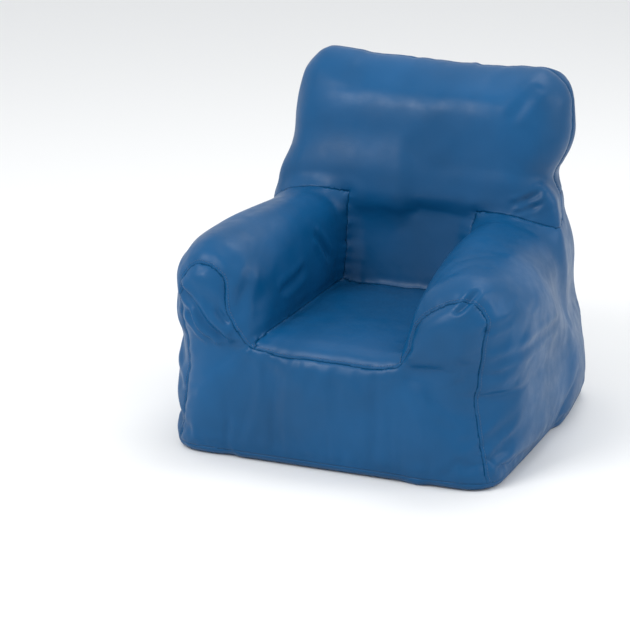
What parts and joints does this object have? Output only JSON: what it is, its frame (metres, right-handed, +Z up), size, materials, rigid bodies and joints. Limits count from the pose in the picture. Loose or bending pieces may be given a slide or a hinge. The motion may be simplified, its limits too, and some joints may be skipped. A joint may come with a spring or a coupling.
{
  "type": "bean bag chair",
  "caption": "Child's bean bag armchair in panelled blue vinyl, with a boxed head rest, arms, bead-filled liner bags and a flap-covered zip at the rear.",
  "frame": {"origin": "on the floor, under the middle of the chair's overall box", "axes": "+Z up; the sitter faces -Y; the sitter's left hand is on the +X side"},
  "size_m": [0.4852, 0.5046, 0.5085],
  "materials": {
    "vinyl": "soft semi-gloss vinyl with a fine grain",
    "thread": "matching twisted polyester thread",
    "liner_cloth": "thin white lining cloth",
    "beads": "expanded polystyrene beads",
    "divider_cloth": "dark lining cloth",
    "zip_tape": "woven zip tape",
    "zip_plastic": "moulded nylon",
    "slider_metal": "lacquered zinc"
  },
  "bodies": {
    "chair": {"back_bead_fill": "beads", "back_boxing_panel": "vinyl", "back_divider": "divider_cloth", "back_front_panel": "vinyl", "back_liner": "liner_cloth", "back_seam_stitching": "thread", "base_panel": "vinyl", "flap_stitching": "thread", "front_panel": "vinyl", "front_seam_stitching": "thread", "left_arm_bead_fill": "beads", "left_arm_divider": "divider_cloth", "left_arm_liner": "liner_cloth", "left_arm_panel": "vinyl", "rear_lower_panel": "vinyl", "rear_seam_stitching": "thread", "rear_upper_panel": "vinyl", "right_arm_bead_fill": "beads", "right_arm_divider": "divider_cloth", "right_arm_liner": "liner_cloth", "right_arm_panel": "vinyl", "seat_bead_fill": "beads", "seat_liner": "liner_cloth", "seat_panel": "vinyl", "zip_coil_lower": "zip_plastic", "zip_coil_upper": "zip_plastic", "zip_flap_hem": "vinyl", "zip_stitching_lower": "thread", "zip_stitching_upper": "thread", "zip_stop_closed": "zip_plastic", "zip_stop_open": "zip_plastic", "zip_tape_lower": "zip_tape", "zip_tape_upper": "zip_tape"},
    "zip_slider": {"zip_slider": "slider_metal"},
    "zip_flap": {"zip_flap": "vinyl", "zip_flap_fold": "vinyl"}
  },
  "joints": [
    {"name": "zip_slide", "type": "slide", "parent": "chair", "child": "zip_slider", "axis": [-1, 0, 0], "range_m": [0, 0.328], "deforming": ["zip_coil_upper", "zip_coil_lower"]},
    {"name": "flap_hinge", "type": "hinge", "parent": "chair", "child": "zip_flap", "pos_m": [0, 0.2484, 0.095], "axis": [1, 0, 0], "range_deg": [0, 120], "deforming": ["zip_flap_fold"]}
  ]
}
